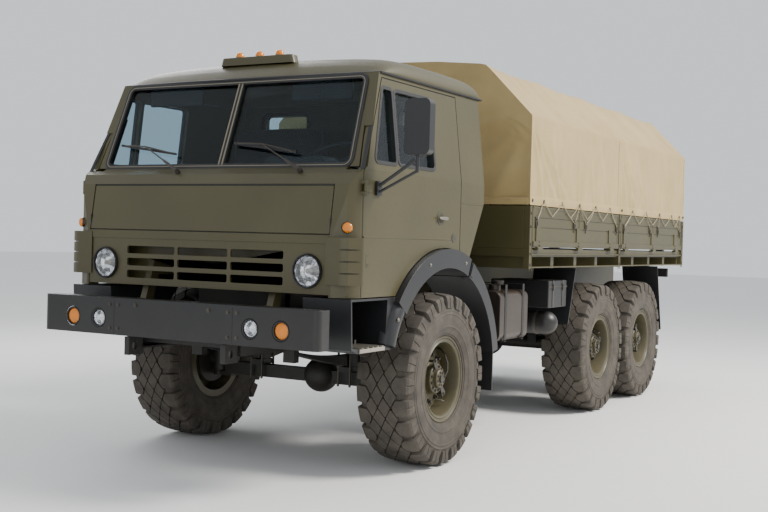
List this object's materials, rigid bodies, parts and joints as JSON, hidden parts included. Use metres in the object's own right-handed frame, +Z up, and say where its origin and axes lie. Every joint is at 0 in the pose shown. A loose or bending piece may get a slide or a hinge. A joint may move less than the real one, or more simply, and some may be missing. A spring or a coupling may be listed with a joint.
{
  "type": "military cargo truck",
  "caption": "Three-axle cab-over army cargo truck with a tilting cab, opening doors, steered front wheels, dropping bed sides and a canvas tilt.",
  "frame": {"origin": "on the ground, under the middle of the front axle, on the truck's centre plane", "axes": "-Y forward, +X to the truck's left, +Z up"},
  "size_m": [2.778, 7.651, 3.11],
  "materials": {
    "olive_paint": "satin",
    "black_paint": "satin",
    "black_plastic": "satin",
    "tyre_rubber": "dusty",
    "canvas": "matte",
    "glass": "clear",
    "amber_lens": "gloss",
    "cast_metal": "matte",
    "seat_cloth": "matte"
  },
  "bodies": {
    "chassis": {"chassis_frame": "black_paint", "frame_brackets": "black_paint", "tow_fittings": "black_paint", "front_bumper": "black_paint", "bumper_lamps": "amber_lens", "front_axle": "olive_paint", "rear_axles": "olive_paint", "leaf_springs": "black_paint", "engine": "cast_metal", "driveline": "cast_metal", "muffler": "black_paint", "fuel_tanks": "black_paint", "battery_box": "black_paint", "air_tank": "black_paint", "mudguards": "black_plastic", "tail_lamps": "amber_lens", "spare_tyre": "tyre_rubber", "spare_rim": "olive_paint", "bed_platform": "olive_paint", "bed_posts": "olive_paint", "canvas_tent": "canvas"},
    "cab": {"cab_shell": "olive_paint", "cab_roof": "olive_paint", "front_grille": "olive_paint", "corner_deflectors": "olive_paint", "cab_fenders": "black_plastic", "cab_lamps": "amber_lens", "cab_glass": "glass", "dashboard": "black_plastic", "steering_wheel": "black_plastic", "seats": "seat_cloth"},
    "front_flap": {"front_flap": "olive_paint"},
    "left_door": {"left_door": "olive_paint", "left_door_glass": "glass", "left_mirror": "black_plastic"},
    "right_door": {"right_door": "olive_paint", "right_door_glass": "glass"},
    "left_knuckle": {"left_knuckle": "olive_paint"},
    "right_knuckle": {"right_knuckle": "olive_paint"},
    "tie_rod": {"tie_rod": "black_paint"},
    "left_front_side": {"left_front_side": "olive_paint"},
    "left_rear_side": {"left_rear_side": "olive_paint"},
    "right_front_side": {"right_front_side": "olive_paint"},
    "right_rear_side": {"right_rear_side": "olive_paint"},
    "tailgate": {"tailgate": "olive_paint"},
    "front_left_wheel": {"front_left_tyre": "tyre_rubber", "front_left_rim": "olive_paint"},
    "front_right_wheel": {"front_right_tyre": "tyre_rubber", "front_right_rim": "olive_paint"},
    "middle_left_wheel": {"middle_left_tyre": "tyre_rubber", "middle_left_rim": "olive_paint"},
    "middle_right_wheel": {"middle_right_tyre": "tyre_rubber", "middle_right_rim": "olive_paint"},
    "rear_left_wheel": {"rear_left_tyre": "tyre_rubber", "rear_left_rim": "olive_paint"},
    "rear_right_wheel": {"rear_right_tyre": "tyre_rubber", "rear_right_rim": "olive_paint"}
  },
  "joints": [
    {"name": "cab_tilt", "type": "hinge", "parent": "chassis", "child": "cab", "pos_m": [0, -1.25, 1.1], "axis": [1, 0, 0], "range_deg": [0, 45]},
    {"name": "flap_hinge", "type": "hinge", "parent": "cab", "child": "front_flap", "pos_m": [0, -1.224, 1.917], "axis": [-1, 0, 0], "range_deg": [0, 85]},
    {"name": "left_door_hinge", "type": "hinge", "parent": "cab", "child": "left_door", "pos_m": [1.175, -1.144, 1.9], "axis": [0, 0, -1], "range_deg": [0, 70]},
    {"name": "right_door_hinge", "type": "hinge", "parent": "cab", "child": "right_door", "pos_m": [-1.175, -1.144, 1.9], "axis": [0, 0, 1], "range_deg": [0, 70]},
    {"name": "steer_left", "type": "hinge", "parent": "chassis", "child": "left_knuckle", "pos_m": [0.8, 0, 0.61], "axis": [0, 0, 1], "range_deg": [-30, 30]},
    {"name": "steer_right", "type": "hinge", "parent": "chassis", "child": "right_knuckle", "pos_m": [-0.8, 0, 0.61], "axis": [0, 0, 1], "range_deg": [-30, 30]},
    {"name": "tie_rod_pivot", "type": "hinge", "parent": "left_knuckle", "child": "tie_rod", "pos_m": [0.8, 0.23, 0.5], "axis": [0, 0, 1], "range_deg": [-30, 30]},
    {"name": "front_left_spin", "type": "hinge", "parent": "left_knuckle", "child": "front_left_wheel", "pos_m": [1.005, 0, 0.61], "axis": [1, 0, 0], "continuous": true},
    {"name": "front_right_spin", "type": "hinge", "parent": "right_knuckle", "child": "front_right_wheel", "pos_m": [-1.005, 0, 0.61], "axis": [1, 0, 0], "continuous": true},
    {"name": "middle_left_spin", "type": "hinge", "parent": "chassis", "child": "middle_left_wheel", "pos_m": [1.005, 3.34, 0.61], "axis": [1, 0, 0], "continuous": true},
    {"name": "middle_right_spin", "type": "hinge", "parent": "chassis", "child": "middle_right_wheel", "pos_m": [-1.005, 3.34, 0.61], "axis": [1, 0, 0], "continuous": true},
    {"name": "rear_left_spin", "type": "hinge", "parent": "chassis", "child": "rear_left_wheel", "pos_m": [1.005, 4.66, 0.61], "axis": [1, 0, 0], "continuous": true},
    {"name": "rear_right_spin", "type": "hinge", "parent": "chassis", "child": "rear_right_wheel", "pos_m": [-1.005, 4.66, 0.61], "axis": [1, 0, 0], "continuous": true},
    {"name": "left_front_side_drop", "type": "hinge", "parent": "chassis", "child": "left_front_side", "pos_m": [1.255, 2.4, 1.545], "axis": [0, 1, 0], "range_deg": [0, 170]},
    {"name": "left_rear_side_drop", "type": "hinge", "parent": "chassis", "child": "left_rear_side", "pos_m": [1.255, 4.7, 1.545], "axis": [0, 1, 0], "range_deg": [0, 170]},
    {"name": "right_front_side_drop", "type": "hinge", "parent": "chassis", "child": "right_front_side", "pos_m": [-1.255, 2.4, 1.545], "axis": [0, -1, 0], "range_deg": [0, 170]},
    {"name": "right_rear_side_drop", "type": "hinge", "parent": "chassis", "child": "right_rear_side", "pos_m": [-1.255, 4.7, 1.545], "axis": [0, -1, 0], "range_deg": [0, 170]},
    {"name": "tailgate_drop", "type": "hinge", "parent": "chassis", "child": "tailgate", "pos_m": [0, 6.045, 1.545], "axis": [-1, 0, 0], "range_deg": [0, 175]}
  ],
  "couplings": [
    {"joint": "steer_right", "follows": "steer_left", "ratio": 1},
    {"joint": "tie_rod_pivot", "follows": "steer_left", "ratio": -1}
  ]
}
